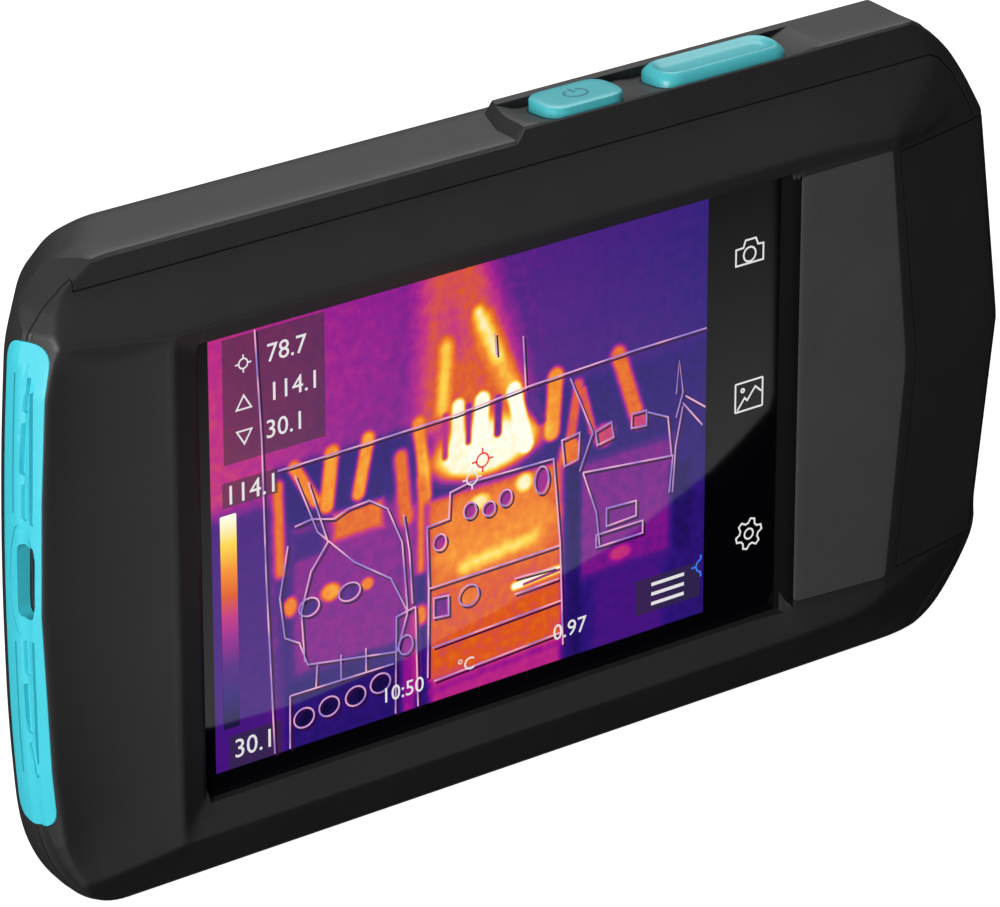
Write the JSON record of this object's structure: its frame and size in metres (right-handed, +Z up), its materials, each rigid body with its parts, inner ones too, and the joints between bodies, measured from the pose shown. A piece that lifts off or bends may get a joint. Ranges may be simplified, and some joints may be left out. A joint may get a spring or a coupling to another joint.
{
  "type": "thermal imaging camera",
  "caption": "Flat pocket thermal camera with a wide screen, two top buttons, a hinged connector door and a shuttered infrared lens behind.",
  "frame": {"origin": "middle of the underside of the case's bounding box", "axes": "+Z up with the camera standing on its lower edge, +X to the right as seen by someone looking at the screen, +Y towards the back, where the lenses are"},
  "size_m": [0.1416, 0.0246, 0.0807],
  "materials": {
    "case": "fine-textured black moulded plastic",
    "pad": "dark grey matt thumb rest",
    "accent": "light blue satin elastomer",
    "steel": "plain steel",
    "glass": "polished cover glass with a black border",
    "display": "lit display panel",
    "magnesium": "die-cast light alloy",
    "cell": "wrapped battery pack",
    "board": "green circuit board",
    "chip": "black component package",
    "germanium": "coated infrared lens",
    "plate": "gloss black camera plate",
    "lamp": "clear lamp lens",
    "brass": "threaded brass insert"
  },
  "bodies": {
    "case": {"rear_shell": "case", "front_shell": "case", "thumb_pad": "pad", "end_insert": "accent", "strap_bar": "steel", "door_pin": "steel", "cover_glass": "glass", "lcd_module": "display", "midframe": "magnesium", "battery": "cell", "main_board": "board", "processor_shield": "steel", "usb_c_socket": "steel", "card_socket": "steel", "speaker": "chip", "microphone": "steel", "thermal_sensor": "chip", "sensor_frame": "magnesium", "shutter_motor": "steel", "lens_barrel": "magnesium", "thermal_lens": "germanium", "lens_ring": "magnesium", "camera_plate": "plate", "visible_camera": "chip", "camera_window": "glass", "lamp_board": "board", "lamp_lens": "lamp", "button_board": "board", "power_switch": "chip", "capture_switch": "chip", "tripod_insert": "brass", "shell_screw_1": "steel", "shell_screw_2": "steel", "shell_screw_3": "steel", "shell_screw_4": "steel", "shell_screw_5": "steel", "shell_screw_6": "steel", "board_screw_1": "steel", "board_screw_2": "steel", "board_screw_3": "steel", "board_screw_4": "steel"},
    "door": {"connector_door": "case"},
    "power_key": {"power_button": "accent", "power_plunger": "steel"},
    "capture_key": {"capture_button": "accent", "capture_plunger": "steel"},
    "shutter": {"shutter_blade": "steel"}
  },
  "joints": [
    {"name": "connector_door_hinge", "type": "hinge", "parent": "case", "child": "door", "pos_m": [0.0656, 0.0039, 0.0382], "axis": [0, 0, 1], "range_deg": [0, 100]},
    {"name": "power_button_press", "type": "slide", "parent": "case", "child": "power_key", "axis": [0, 0, -1], "range_m": [0, 0.0005], "stiffness_N_per_m": 2000},
    {"name": "capture_button_press", "type": "slide", "parent": "case", "child": "capture_key", "axis": [0, 0, -1], "range_m": [0, 0.0006], "stiffness_N_per_m": 2000},
    {"name": "shutter_swing", "type": "hinge", "parent": "case", "child": "shutter", "pos_m": [0.0274, 0.0046, 0.0497], "axis": [0, 1, 0], "range_deg": [0, 55]}
  ]
}
